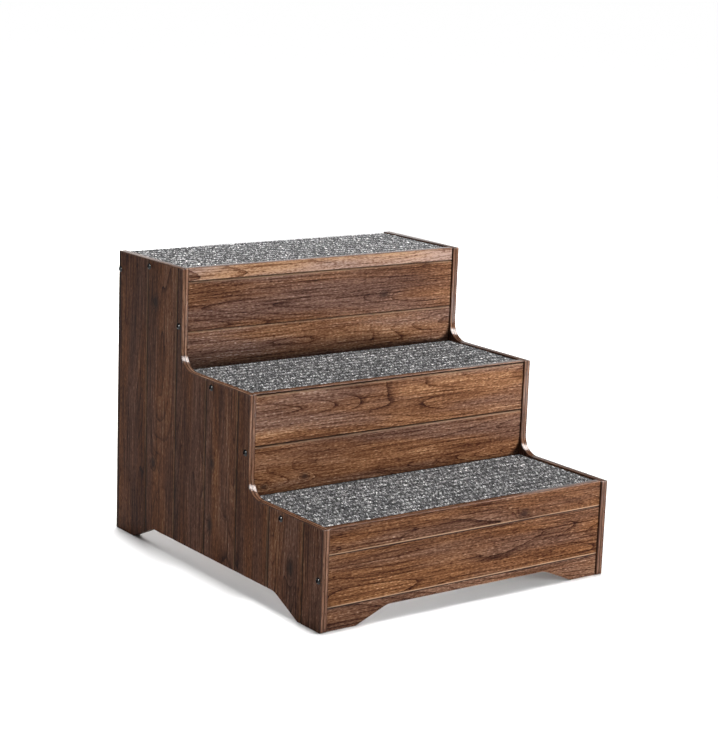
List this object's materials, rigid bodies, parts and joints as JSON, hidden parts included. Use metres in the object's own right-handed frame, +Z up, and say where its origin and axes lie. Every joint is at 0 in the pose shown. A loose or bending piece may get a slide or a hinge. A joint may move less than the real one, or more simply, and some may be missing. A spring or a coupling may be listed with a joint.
{
  "type": "pet stairs",
  "caption": "Free-standing pet stairs: ribbed carpet treads on grooved wood-look boards, bolted between stepped side panels, open underneath, for a small dog to reach a sofa or bed.",
  "frame": {"origin": "on the floor, under the middle of the stairs' bounding box", "axes": "+X to the right as seen from the front, +Y from the front step towards the back, +Z up"},
  "size_m": [0.5558, 0.6, 0.47],
  "materials": {
    "walnut_panel": "satin",
    "walnut_board": "satin",
    "edge_band": "semi-gloss",
    "grey_carpet": "ribbed loop pile",
    "black_steel": "black oxide",
    "zinc_steel": "zinc plated",
    "birch": "raw"
  },
  "bodies": {
    "root": {"left_side_panel": "walnut_panel", "right_side_panel": "walnut_panel", "left_edge_band": "edge_band", "right_edge_band": "edge_band", "riser_1": "walnut_board", "riser_2": "walnut_board", "riser_3": "walnut_board", "tread_1": "walnut_board", "tread_2": "walnut_board", "tread_3": "walnut_board", "back_rail": "walnut_board", "riser_1_edge_band": "edge_band", "riser_2_edge_band": "edge_band", "riser_3_edge_band": "edge_band", "carpet_1": "grey_carpet", "carpet_2": "grey_carpet", "carpet_3": "grey_carpet", "riser_1_bolts": "black_steel", "riser_2_bolts": "black_steel", "riser_3_bolts": "black_steel", "tread_1_bolts": "black_steel", "tread_2_bolts": "black_steel", "tread_3_bolts": "black_steel", "back_rail_bolts": "black_steel", "riser_1_barrel_nuts": "zinc_steel", "riser_2_barrel_nuts": "zinc_steel", "riser_3_barrel_nuts": "zinc_steel", "tread_1_barrel_nuts": "zinc_steel", "tread_2_barrel_nuts": "zinc_steel", "tread_3_barrel_nuts": "zinc_steel", "back_rail_barrel_nuts": "zinc_steel", "riser_1_dowels": "birch", "riser_2_dowels": "birch", "riser_3_dowels": "birch", "tread_1_dowels": "birch", "tread_2_dowels": "birch", "tread_3_dowels": "birch", "back_rail_dowels": "birch"}
  },
  "joints": []
}
